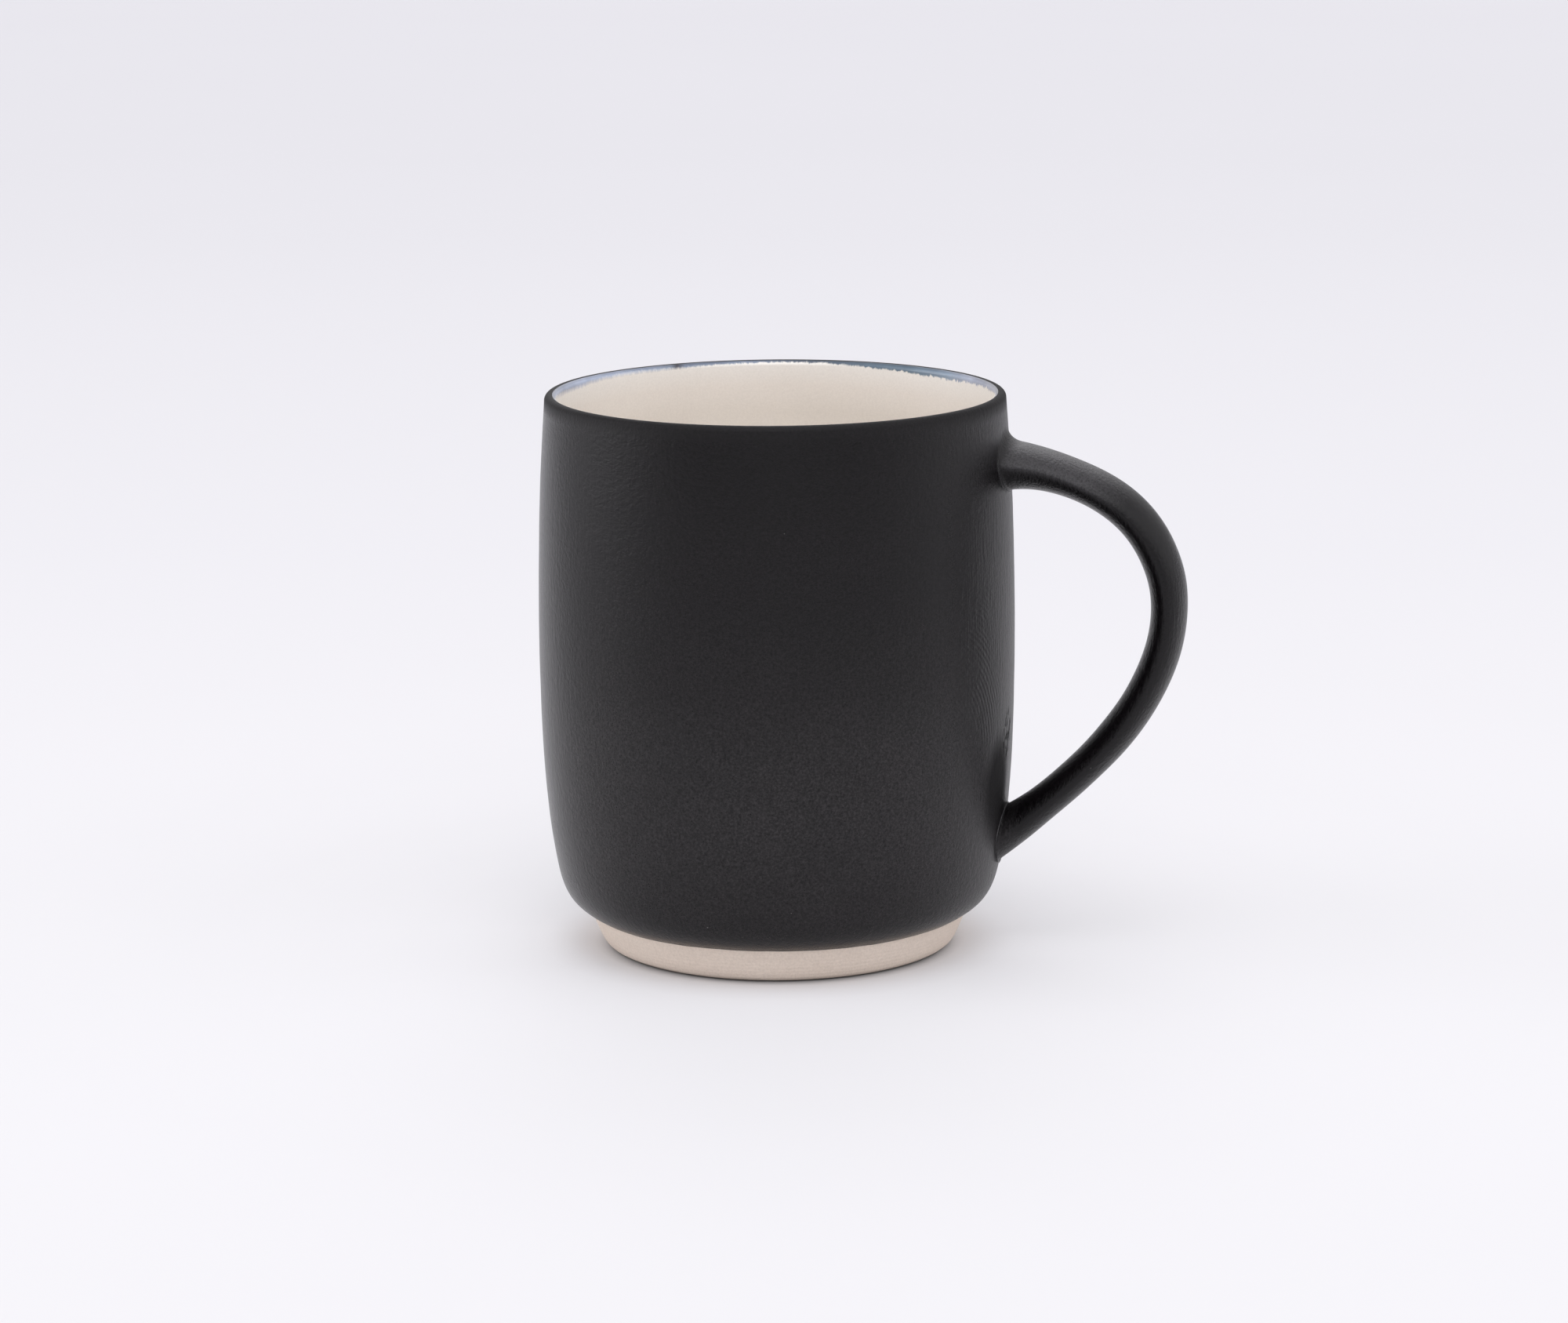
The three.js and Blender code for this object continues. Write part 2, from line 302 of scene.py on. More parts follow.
# ---------------------------------------------------------------- materials
def black_coat_material():
    m, nt, b = new_material("matt_black_coat")
    obj = mapped(nt, (1, 1, 1))
    tall = mapped(nt, (1, 1, 0.11))
    sep = nt.nodes.new("ShaderNodeSeparateXYZ")
    L(nt, obj, sep.inputs[0])
    x, z = sep.outputs["X"], sep.outputs["Z"]
    cloud = noise_tex(nt, obj, 55, 4, 0.6)
    grain = noise_tex(nt, obj, 2400, 3, 0.75)
    leather = noise_tex(nt, obj, 1150, 3, 0.65)
    streak = noise_tex(nt, tall, 2100, 3, 0.65)
    # painted light: the coat's colour is a little paler low on the wall, where the bright floor lights it, and darker
    # towards the foot and under the lip, where shade falls
    height = math_node(nt, "MULTIPLY", z, 10.0)
    base = ramp(nt, height, [
        (0.06, (0.0050, 0.0041, 0.0048)), (0.13, (0.0098, 0.0085, 0.0093)), (0.24, (0.0136, 0.0122, 0.0131)),
        (0.31, (0.0144, 0.0130, 0.0139)), (0.42, (0.0134, 0.0121, 0.0129)), (0.53, (0.0080, 0.0069, 0.0076)),
        (0.68, (0.0048, 0.0039, 0.0046)),
        (0.92, (0.0030, 0.0022, 0.0029)),
    ])
    # the strap takes none of the wall's painted light and keeps the coat's plain dark colour
    reach = math_node(nt, "SQRT", math_node(nt, "MULTIPLY_ADD", x, x, math_node(nt, "MULTIPLY", sep.outputs["Y"], sep.outputs["Y"])))
    on_strap = ramp(nt, math_node(nt, "MULTIPLY", reach, 10.0), [(0.424, (0, 0, 0)), (0.440, (1, 1, 1))])
    base = mix_color(nt, on_strap, base, (0.0028, 0.0021, 0.0027))
    c2 = ramp(nt, cloud, [(0.3, (0.86, 0.86, 0.87)), (0.7, (1.14, 1.13, 1.12))])
    base = mix_color(nt, 1.0, base, c2, "MULTIPLY")
    g2 = ramp(nt, grain, [(0.32, (0.1, 0.1, 0.1)), (0.5, (1, 1, 1)), (0.68, (2.0, 2.0, 2.0))])
    base = mix_color(nt, 1.0, base, g2, "MULTIPLY")
    # painted highlight: a paler patch on top of the strap by its upper joint, where the light from above falls
    bow = math_node(nt, "SUBTRACT", x, 0.041)
    bow = math_node(nt, "MULTIPLY", math_node(nt, "MULTIPLY", bow, bow), 17.5)
    above = math_node(nt, "ADD", math_node(nt, "SUBTRACT", z, 0.0864), bow)  # height over the strap's middle
    above = math_node(nt, "MULTIPLY_ADD", above, 1100.0, 0.1, clamp=True)
    strap_top_highlight = math_node(nt, "MULTIPLY", spot(nt, obj, (0.0475, -0.004, 0.0895), (0.021, 0.016, 0.013)), above)
    strap_top_highlight = math_node(nt, "MULTIPLY", strap_top_highlight, ramp(nt, math_node(nt, "MULTIPLY", reach, 10.0), [(0.414, (0.1, 0.1, 0.1)), (0.428, (1, 1, 1))]))
    strap_top_highlight = math_node(nt, "MULTIPLY", strap_top_highlight, ramp(nt, grain, [(0.35, (0.35, 0.35, 0.35)), (0.65, (1.3, 1.3, 1.3))]))
    # lighten the top of the strap with the painted highlight
    base = mix_color(nt, strap_top_highlight, base, (0.040, 0.038, 0.041))
    # painted highlight: the fine ridge round each joint is painted paler, as the glint it catches along the crease
    skin = ramp(nt, height, [(r_z / 100.0, (r_r / 100.0,) * 3) for r_r, r_z in OUTSIDE[3:]])
    rise = math_node(nt, "MULTIPLY_ADD", reach, 10.0, math_node(nt, "MULTIPLY", skin, -1.0))
    ridge_glint = ramp(nt, math_node(nt, "MULTIPLY", rise, 100.0), [(0.13, (0, 0, 0)), (0.17, (1, 1, 1)), (0.24, (1, 1, 1)), (0.32, (0, 0, 0))])
    low = ramp(nt, height, [(0.35, (1, 1, 1)), (0.5, (0.35, 0.35, 0.35))])
    low = math_node(nt, "MULTIPLY", low, ramp(nt, math_node(nt, "MULTIPLY", x, 20.0), [(0.785, (0, 0, 0)), (0.80, (1, 1, 1))]))
    low = math_node(nt, "MULTIPLY", low, ramp(nt, height, [(0.865, (1, 1, 1)), (0.885, (0, 0, 0))]))
    ridge_glint = math_node(nt, "MULTIPLY", ridge_glint, low)
    # mix in the painted highlight along the ridge
    base = mix_color(nt, ridge_glint, base, (0.075, 0.073, 0.076))
    plain = math_node(nt, "MULTIPLY", math_node(nt, "SUBTRACT", 1.0, ridge_glint), math_node(nt, "SUBTRACT", 1.0, on_strap))
    # sparse pale specks of unmelted glaze
    vor = nt.nodes.new("ShaderNodeTexVoronoi")
    vor.inputs["Scale"].default_value = 210
    L(nt, obj, vor.inputs["Vector"])
    vsep = nt.nodes.new("ShaderNodeSeparateColor")
    L(nt, vor.outputs["Color"], vsep.inputs[0])
    rare = math_node(nt, "GREATER_THAN", vsep.outputs[0], 0.8)
    near = math_node(nt, "LESS_THAN", vor.outputs["Distance"], 0.024)
    speck = math_node(nt, "MULTIPLY", rare, near)
    base = mix_color(nt, math_node(nt, "MULTIPLY", speck, 0.6), base, (0.16, 0.155, 0.15))
    # a patch of open pits below the handle loop, and one small pit on the front; their dark insides are painted shade
    dashes = noise_tex(nt, mapped(nt, (1, 1, 0.4)), 1500, 2, 0.5)
    pits = math_node(nt, "MULTIPLY", spot(nt, obj, (0.0417, -0.0036, 0.0392), (0.0040, 0.0032, 0.0052)),
                     ramp(nt, dashes, [(0.53, (0, 0, 0)), (0.58, (1, 1, 1))]))
    pits = math_node(nt, "MAXIMUM", pits, spot(nt, obj, (-0.0153, -0.0389, 0.0309), (0.0005, 0.0005, 0.0006)))
    # painted shade inside the pits
    base = mix_color(nt, pits, base, (0.0004, 0.0004, 0.0004))
    # painted shade and painted reflection of the strap: a dark band on the wall over the lower joint, on both sides,
    # leaning away from the strap as it rises
    across = math_node(nt, "MULTIPLY", math_node(nt, "ABSOLUTE", sep.outputs["Y"]), -1.0)
    across = math_node(nt, "ADD", across, math_node(nt, "MULTIPLY_ADD", z, 0.27, -0.0036))
    across = math_node(nt, "MULTIPLY_ADD", across, 60.0, 0.5, clamp=True)
    along = ramp(nt, height, [(0.16, (0, 0, 0)), (0.26, (0.9, 0.9, 0.9)), (0.37, (1, 1, 1)), (0.43, (0.85, 0.85, 0.85)),
                              (0.50, (0.85, 0.85, 0.85)), (0.62, (0.75, 0.75, 0.75)), (0.76, (0, 0, 0))])
    along = math_node(nt, "MULTIPLY", along, ramp(nt, math_node(nt, "MULTIPLY", x, 20.0), [(0.62, (0, 0, 0)), (0.74, (1, 1, 1))]))
    strap_shade_across = ramp(nt, across, [(0.06, (0, 0, 0)), (0.28, (0.38, 0.38, 0.38)), (0.42, (0.88, 0.88, 0.88)), (0.50, (1, 1, 1)),
                               (0.58, (0.7, 0.7, 0.7)), (0.68, (0.15, 0.15, 0.15)), (0.78, (0, 0, 0))])
    # painted shade in the corner on the near side of the lower joint
    joint_corner_shade = math_node(nt, "POWER", spot(nt, obj, (0.0403, -0.0080, 0.0308), (0.007, 0.0066, 0.0108)), 1.3)
    joint_corner_shade = math_node(nt, "MULTIPLY", joint_corner_shade, plain)
    strap_shade = math_node(nt, "MULTIPLY", math_node(nt, "MULTIPLY", strap_shade_across, along), plain)
    strap_shade = math_node(nt, "MAXIMUM", strap_shade, joint_corner_shade)
    # lay the painted shade into the coat's colour
    base = mix_color(nt, strap_shade, base, (0.0020, 0.0014, 0.0019))
    L(nt, base, b.inputs["Base Color"])
    r = math_node(nt, "MULTIPLY_ADD", cloud, 0.06, 0.19)
    r = math_node(nt, "MULTIPLY_ADD", grain, 0.06, r)
    # the crest of the lip and the wiped wall by the handle are less glossy
    crest = ramp(nt, height, [(0.955, (0, 0, 0)), (0.981, (1, 1, 1))])
    r = math_node(nt, "MULTIPLY_ADD", crest, 0.38, r)
    wiping = math_node(nt, "MULTIPLY", ramp(nt, math_node(nt, "MULTIPLY", x, 20.0), [(0.66, (0, 0, 0)), (0.80, (1, 1, 1))]),
                       math_node(nt, "SUBTRACT", 1.0, on_strap))
    r = math_node(nt, "MULTIPLY_ADD", wiping, 0.10, r)
    r = math_node(nt, "MULTIPLY_ADD", joint_corner_shade, 0.42, r)
    L(nt, math_node(nt, "MULTIPLY_ADD", pits, 0.5, r), b.inputs["Roughness"])
    b.inputs["Specular IOR Level"].default_value = 0.25
    b.inputs["IOR"].default_value = 1.5
    # fine upright streaks, stronger by the handle where the wall was wiped
    side = ramp(nt, math_node(nt, "MULTIPLY", x, 20.0), [(0.66, (0.30, 0.30, 0.30)), (0.79, (1, 1, 1))])
    n1 = bump(nt, math_node(nt, "MULTIPLY", streak, side), 0.00013, 0.95)
    # curved lines left by wiping round the handle
    wave = nt.nodes.new("ShaderNodeTexWave")
    wave.wave_type, wave.rings_direction, wave.wave_profile = "RINGS", "SPHERICAL", "SIN"
    wave.inputs["Scale"].default_value = 360
    wave.inputs["Distortion"].default_value = 1.6
    wave.inputs["Detail"].default_value = 2.0
    wave.inputs["Detail Scale"].default_value = 0.6
    off = nt.nodes.new("ShaderNodeMapping")
    off.inputs["Location"].default_value = (-0.0289, 0.0305, -0.038)
    L(nt, obj, off.inputs["Vector"])
    L(nt, off.outputs[0], wave.inputs["Vector"])
    wiped = math_node(nt, "MULTIPLY", spot(nt, obj, (0.0385, -0.0165, 0.052), (0.012, 0.012, 0.019)),
                      ramp(nt, noise_tex(nt, obj, 160, 2, 0.5), [(0.40, (0, 0, 0)), (0.58, (1, 1, 1))]))
    n1 = bump(nt, math_node(nt, "MULTIPLY", wave.outputs["Fac"], wiped), 0.00005, 1.0, n1)
    # the wall is drawn out softly towards the lower joint
    swell = nt.nodes.new("ShaderNodeVectorMath")
    swell.operation = "SUBTRACT"
    L(nt, obj, swell.inputs[0])
    swell.inputs[1].default_value = (0.0415, 0.0, 0.027)
    swell_s = nt.nodes.new("ShaderNodeVectorMath")
    swell_s.operation = "DIVIDE"
    L(nt, swell.outputs[0], swell_s.inputs[0])
    swell_s.inputs[1].default_value = (0.03, 0.013, 0.021)
    swell_d = nt.nodes.new("ShaderNodeVectorMath")
    swell_d.operation = "DOT_PRODUCT"
    L(nt, swell_s.outputs[0], swell_d.inputs[0])
    L(nt, swell_s.outputs[0], swell_d.inputs[1])
    lift = math_node(nt, "SUBTRACT", 1.0, swell_d.outputs["Value"], clamp=True)
    lift = math_node(nt, "MULTIPLY", lift, lift)
    n1 = bump(nt, lift, 0.0003, 1.0, n1)
    n2 = bump(nt, leather, 0.00012, 0.8, n1)
    n3 = bump(nt, math_node(nt, "MULTIPLY_ADD", pits, -5.0, grain), 0.00006, 0.9, n2)
    L(nt, n3, b.inputs["Normal"])
    return m


def clay_material():
    m, nt, b = new_material("bare_stoneware")
    obj = mapped(nt, (1, 1, 1))
    flat = mapped(nt, (0.12, 0.12, 1))
    cloud = noise_tex(nt, obj, 60, 4, 0.6)
    grain = noise_tex(nt, obj, 2600, 3, 0.6)
    lines = noise_tex(nt, flat, 1600, 3, 0.6)
    base = ramp(nt, cloud, [(0.3, (0.710, 0.612, 0.530)), (0.7, (0.728, 0.632, 0.550))])
    g2 = ramp(nt, grain, [(0.3, (0.92, 0.915, 0.91)), (0.62, (1.04, 1.04, 1.04))])
    base = mix_color(nt, 1.0, base, g2, "MULTIPLY")
    l2 = ramp(nt, lines, [(0.35, (0.985, 0.983, 0.98)), (0.6, (1.01, 1.01, 1.01))])
    base = mix_color(nt, 1.0, base, l2, "MULTIPLY")
    L(nt, base, b.inputs["Base Color"])
    L(nt, math_node(nt, "MULTIPLY_ADD", grain, 0.15, 0.72), b.inputs["Roughness"])
    b.inputs["Specular IOR Level"].default_value = 0.3
    n1 = bump(nt, lines, 0.00004, 0.4)
    n2 = bump(nt, grain, 0.00004, 0.6, n1)
    L(nt, n2, b.inputs["Normal"])
    return m


def inside_material(name):
    """The pale glaze, which turns blue-white near the lip and thins over the dark coat there."""
    m, nt, b = new_material(name)
    obj = mapped(nt, (1, 1, 1))
    streaky = mapped(nt, (1, 1, 0.3))
    sep = nt.nodes.new("ShaderNodeSeparateXYZ")
    L(nt, obj, sep.inputs[0])
    z = sep.outputs["Z"]
    fine = noise_tex(nt, streaky, 1500, 4, 0.7)
    broad = noise_tex(nt, obj, 38, 3, 0.55)
    cloud = noise_tex(nt, obj, 35, 3, 0.5)
    patch = noise_tex(nt, obj, 70, 3, 0.6)
    # across (left to right as seen with the handle on the right) and back
    ca, sa = math.cos(math.radians(11.0)) / 0.0388, math.sin(math.radians(11.0)) / 0.0388
    x, y = sep.outputs["X"], sep.outputs["Y"]
    across = math_node(nt, "MULTIPLY_ADD", x, ca / 2, 0.5)
    across = math_node(nt, "MULTIPLY_ADD", y, sa / 2, across)
    back = math_node(nt, "MULTIPLY_ADD", y, ca / 2, 0.5)
    back = math_node(nt, "MULTIPLY_ADD", x, -sa / 2, back)
    # height of the pale glaze's feathered edge round the lip: 0 is 96.5 mm, 1 is 98.5 mm
    edge = ramp(nt, across, [
        (0.0, (0.42,) * 3), (0.03, (0.30,) * 3), (0.08, (0.46,) * 3), (0.15, (0.56,) * 3), (0.22, (0.62,) * 3),
        (0.31, (0.72,) * 3), (0.45, (0.78,) * 3), (0.60, (0.74,) * 3), (0.70, (0.62,) * 3), (0.78, (0.50,) * 3),
        (0.84, (0.32,) * 3), (0.90, (0.24,) * 3), (0.95, (0.28,) * 3), (1.0, (0.42,) * 3),
    ])
    front = ramp(nt, back, [(0.42, (1, 1, 1)), (0.56, (0, 0, 0))])
    edge = mix_color(nt, front, edge, (0.86, 0.86, 0.86))
    edge = math_node(nt, "MULTIPLY_ADD", edge, 2.0, 96.5)
    zz = math_node(nt, "MULTIPLY_ADD", z, 1000.0, math_node(nt, "MULTIPLY", edge, -1.0))
    zz = math_node(nt, "MULTIPLY_ADD", math_node(nt, "SUBTRACT", broad, 0.5), 1.1, zz)
    # feathered on the left, ragged on the right
    jag = math_node(nt, "MULTIPLY", math_node(nt, "SUBTRACT", fine, 0.5), ramp(nt, across, [(0.3, (0.30,) * 3), (0.72, (0.32,) * 3), (0.84, (0.70,) * 3)]))
    zf = math_node(nt, "MULTIPLY_ADD", jag, 3.0, zz)
    t = math_node(nt, "MULTIPLY_ADD", zf, 0.25, 0.5, clamp=True)  # -2 mm to +2 mm
    over = math_node(nt, "SMOOTH_MIN", math_node(nt, "MULTIPLY_ADD", zz, 0.11, 1.0, clamp=True), 1.0, 0.2)
    pale = ramp(nt, over, [(0.0, (0.790, 0.736, 0.667)), (0.55, (0.818, 0.764, 0.700)), (1.0, (0.868, 0.840, 0.795))])
    tone = ramp(nt, across, [
        (0.0, (0.38, 0.42, 0.52)), (0.06, (0.44, 0.50, 0.64)), (0.20, (0.34, 0.40, 0.52)), (0.255, (0.28, 0.33, 0.42)),
        (0.27, (0.08, 0.08, 0.10)), (0.29, (0.22, 0.27, 0.36)), (0.45, (0.18, 0.23, 0.32)), (0.60, (0.09, 0.125, 0.17)),
        (0.82, (0.13, 0.19, 0.25)), (0.90, (0.20, 0.26, 0.34)), (0.95, (0.42, 0.46, 0.57)), (1.0, (0.36, 0.37, 0.42)),
    ])
    vary = ramp(nt, patch, [(0.3, (0.62, 0.64, 0.68)), (0.7, (1.3, 1.28, 1.25))])
    grey = mix_color(nt, 1.0, tone, vary, "MULTIPLY")
    top = math_node(nt, "MULTIPLY_ADD", z, 1000.0, -97.5)
    dark = ramp(nt, top, [(0.45, (1, 1, 1)), (0.80, (0.55, 0.54, 0.54)), (0.93, (0.34, 0.34, 0.35))])
    grey = mix_color(nt, 1.0, grey, dark, "MULTIPLY")
    crisp = ramp(nt, across, [(0.0, (0.11,) * 3), (0.22, (0.14,) * 3), (0.40, (0.40,) * 3), (1.0, (0.36,) * 3)])
    gate = math_node(nt, "ADD", math_node(nt, "MULTIPLY", math_node(nt, "MULTIPLY", zf, crisp), 10.0), 0.5, clamp=True)
    lip = mix_color(nt, gate, pale, grey)
    tint = ramp(nt, cloud, [(0.3, (0.975, 0.97, 0.965)), (0.7, (1.02, 1.02, 1.02))])
    base = mix_color(nt, 1.0, lip, tint, "MULTIPLY")
    dust = noise_tex(nt, obj, 2600, 2, 0.7)
    base = mix_color(nt, 1.0, base, ramp(nt, dust, [(0.3, (0.965, 0.963, 0.96)), (0.7, (1.03, 1.03, 1.03))]), "MULTIPLY")
    L(nt, base, b.inputs["Base Color"])
    L(nt, math_node(nt, "MULTIPLY_ADD", cloud, 0.06, 0.13), b.inputs["Roughness"])
    b.inputs["Specular IOR Level"].default_value = 0.5
    b.inputs["IOR"].default_value = 1.5
    dimple = noise_tex(nt, obj, 260, 2, 0.5)
    n1 = bump(nt, dimple, 0.00004, 0.4)
    L(nt, n1, b.inputs["Normal"])
    return m


def slip_material():
    m, nt, b = new_material("slip")
    obj = mapped(nt, (1, 1, 1))
    cloud = noise_tex(nt, obj, 300, 4, 0.6)
    base = ramp(nt, cloud, [(0.3, (0.50, 0.42, 0.35)), (0.7, (0.60, 0.51, 0.44))])
    L(nt, base, b.inputs["Base Color"])
    L(nt, math_node(nt, "MULTIPLY_ADD", cloud, 0.2, 0.75), b.inputs["Roughness"])
    L(nt, bump(nt, noise_tex(nt, obj, 1500, 3, 0.6), 0.00008, 0.7), b.inputs["Normal"])
    return m


BLACK = black_coat_material()
CLAY = clay_material()
LINER = inside_material("pale_liner")
OVERLAP = inside_material("lip_overlap")
SLIP = slip_material()

# ---------------------------------------------------------------- the cup
NSEG = 288


def cup_shift(r, a, z, i):
    x, y = r * math.cos(a), r * math.sin(a)
    k = min(1.0, max(0.0, (97.0 - z) / 6.0)) * min(1.0, max(0.0, (z - 6.0) / 4.0))
    d = wobble(x, y, z * 0.8, 0.07, 26.0, 3.1) + wobble(x, y, z * 3.0, 0.02, 14.0, 8.7)
    return d * k, 0.0


def edge_shift(r, a, z, i):
    dr, dz = cup_shift(r, a, z, i)
    if z < 9.0:
        w = (9.0 - z) / 2.6
        x, y = math.cos(a), math.sin(a)
        dz += w * (0.09 * noise.noise(Vector((x * 3.1, y * 3.1, 1.7))) + 0.05 * noise.noise(Vector((x * 11, y * 11, 5.2))))
    return dr, dz


# The black coat: a rounded lower edge, up the outside, over the crest of the lip and back down.
lip_over = 112.0
outer = OUT[1:-1]
edge = np.array([(33.52, 6.62), (33.56, 6.42), (33.66, 6.33), (33.80, 6.33)])
coat_in = side_step(OUT, -COAT)[4:-1]
prof = np.vstack([
    edge, OUT[:1], outer,
    arc(LIP_C, LIP_R, 0, lip_over, 26),
    arc(LIP_C, LIP_R - COAT, lip_over, 0, 14),
    coat_in[::-1],
])
n_top = len(edge) + 1 + len(outer) + 26 - 1
coat_cup = lathe("coat_cup", prof, NSEG, BLACK, sharp_at=(n_top,), shift=edge_shift)

# The overlap band: round the inner half of the lip and a little way down.
BAND_Z = 95.0
inner_down = INN[INN[:, 1] > BAND_Z]
k = len(inner_down)
inner_down = np.vstack([inner_down[1:], [(np.interp(-BAND_Z, -INN[:, 1], INN[:, 0]), BAND_Z)]])
band_face = np.vstack([arc(LIP_C, LIP_R, lip_over, 180, 22), inner_down])
band_back = np.vstack([side_step(inner_down, -COAT)[::-1], arc(LIP_C, LIP_R - COAT, 180, lip_over, 12)])
band = lathe("lip_glaze", np.vstack([band_face, band_back]), NSEG, OVERLAP, sharp_at=(0, len(band_face) - 1))

# The liner.
face = np.vstack([inner_down[-1:], INN[INN[:, 1] < BAND_Z]])
back = side_step(face, -COAT)[::-1]
back[0, 0] = 0.0


def liner_shift(r, a, z, i):
    if r < 0.5:
        return 0.0, 0.0
    x, y = r * math.cos(a), r * math.sin(a)
    k = min(1.0, max(0.0, (94.0 - z) / 8.0))
    ring = 0.03 * math.sin(z * 1.15 + 0.6 * math.sin(a + 0.07 * z)) if z > 9 else 0.0
    return k * (wobble(x, y, z, 0.10, 22.0, 5.5) + ring), 0.0


def solid_open_profile(name, face, back, mat, shift):
    """face ends on the axis; back starts on the axis: the two are one closed solid."""
    prof = np.vstack([back, face])  # from the axis outward under the face, then back to the axis
    return lathe(name, prof, NSEG, mat, sharp_at=(len(back),), shift=shift)


liner = solid_open_profile("liner", face, back, LINER, liner_shift)

# The clay: foot, wall and floor. Only the foot shows.
FOOT = [
    (25.6, 0.10), (26.6, 0.02), (27.6, 0.0), (28.7, 0.0), (29.7, 0.08), (30.6, 0.36), (31.2, 0.80),
    (31.62, 1.40), (32.15, 2.5), (32.72, 3.9), (33.25, 5.2), (33.56, 6.1),
]
foot = smooth_profile(FOOT, 90)
under = np.array([(r, 0.42 + 0.035 * math.sin(r * 2.4) * min(1, r / 3)) for r in np.linspace(0, 24.4, 120)])
under = np.vstack([under, [(24.7, 0.38), (25.0, 0.28), (25.3, 0.18)]])
clay_out = side_step(OUT, -COAT - 0.05)
clay_out = clay_out[clay_out[:, 1] > 6.7][:-1]
clay_in = side_step(INN, -COAT - 0.05)[1:]
clay_in[-1, 0] = 0.0
under[0, 0] = 0.0
clay_prof = np.vstack([under, foot, clay_out, arc(LIP_C, LIP_R - COAT - 0.05, 0, 180, 12), clay_in])


def clay_shift(r, a, z, i):
    x, y = r * math.cos(a), r * math.sin(a)
    if z < 6.3 and r > 28.5:
        return wobble(x, y, z * 2, 0.05, 9.0, 2.2) + 0.016 * math.sin(z * 9 + 0.8 * math.sin(2 * a)), 0.0
    return 0.0, 0.0


clay = lathe("clay_body", clay_prof, NSEG, CLAY, shift=clay_shift)

# ---------------------------------------------------------------- the handle
HS = Spline(HANDLE)
NT = 72  # points round the strap


def strap_point(u, th, inset=0.0):
    """A point of the strap's surface: u in mm along the curve, th round the section."""
    q = HS.at(u)
    e = 0.05
    d = HS.at(np.minimum(u + e, HS.length)) - HS.at(np.maximum(u - e, 0.0))
    t = d[..., :2] / np.linalg.norm(d[..., :2], axis=-1)[..., None]
    out = np.stack([-t[..., 1], t[..., 0]], -1)  # away from the finger gap
    c, s = np.cos(th), np.sin(th)
    kk = np.where(c > 0, 0.64 + 0.1 * np.exp(-np.asarray(u) / 12.0), 0.62)
    a = (q[..., 2] - inset) * np.sign(c) * np.abs(c) ** (2 * kk)
    a = a + 0.8 * np.exp(-((np.asarray(u) / 17.0) ** 2)) * s * s  # the edges sit high by the upper joint
    b = (q[..., 3] - inset) * s
    x = q[..., 0] + out[..., 0] * a
    z = q[..., 1] + out[..., 1] * a
    return np.stack([x, b + 0 * x, z], -1)


def to_wall(P, drop=0.0):
    """(arc length round the wall, z, height over the wall)."""
    rho = np.hypot(P[..., 0], P[..., 1])
    az = np.arctan2(P[..., 1], P[..., 0])
    return np.stack([az * 41.0, P[..., 2], rho - wall(P[..., 2]) + drop], -1)


def from_wall(W, drop=0.0):
    rho = W[..., 2] + wall(W[..., 1]) - drop
    az = W[..., 0] / 41.0
    return np.stack([rho * np.cos(az), rho * np.sin(az), W[..., 1]], -1)


def crossing(th, lo, hi, inset, drop):
    """u where the strap's line th meets the wall, between lo (inside) and hi (outside)."""
    for _ in range(50):
        mid = (lo + hi) / 2
        h = to_wall(strap_point(mid, th, inset), drop)[..., 2]
        inside = h < 0
        lo, hi = np.where(inside, mid, lo), np.where(inside, hi, mid)
    return (lo + hi) / 2


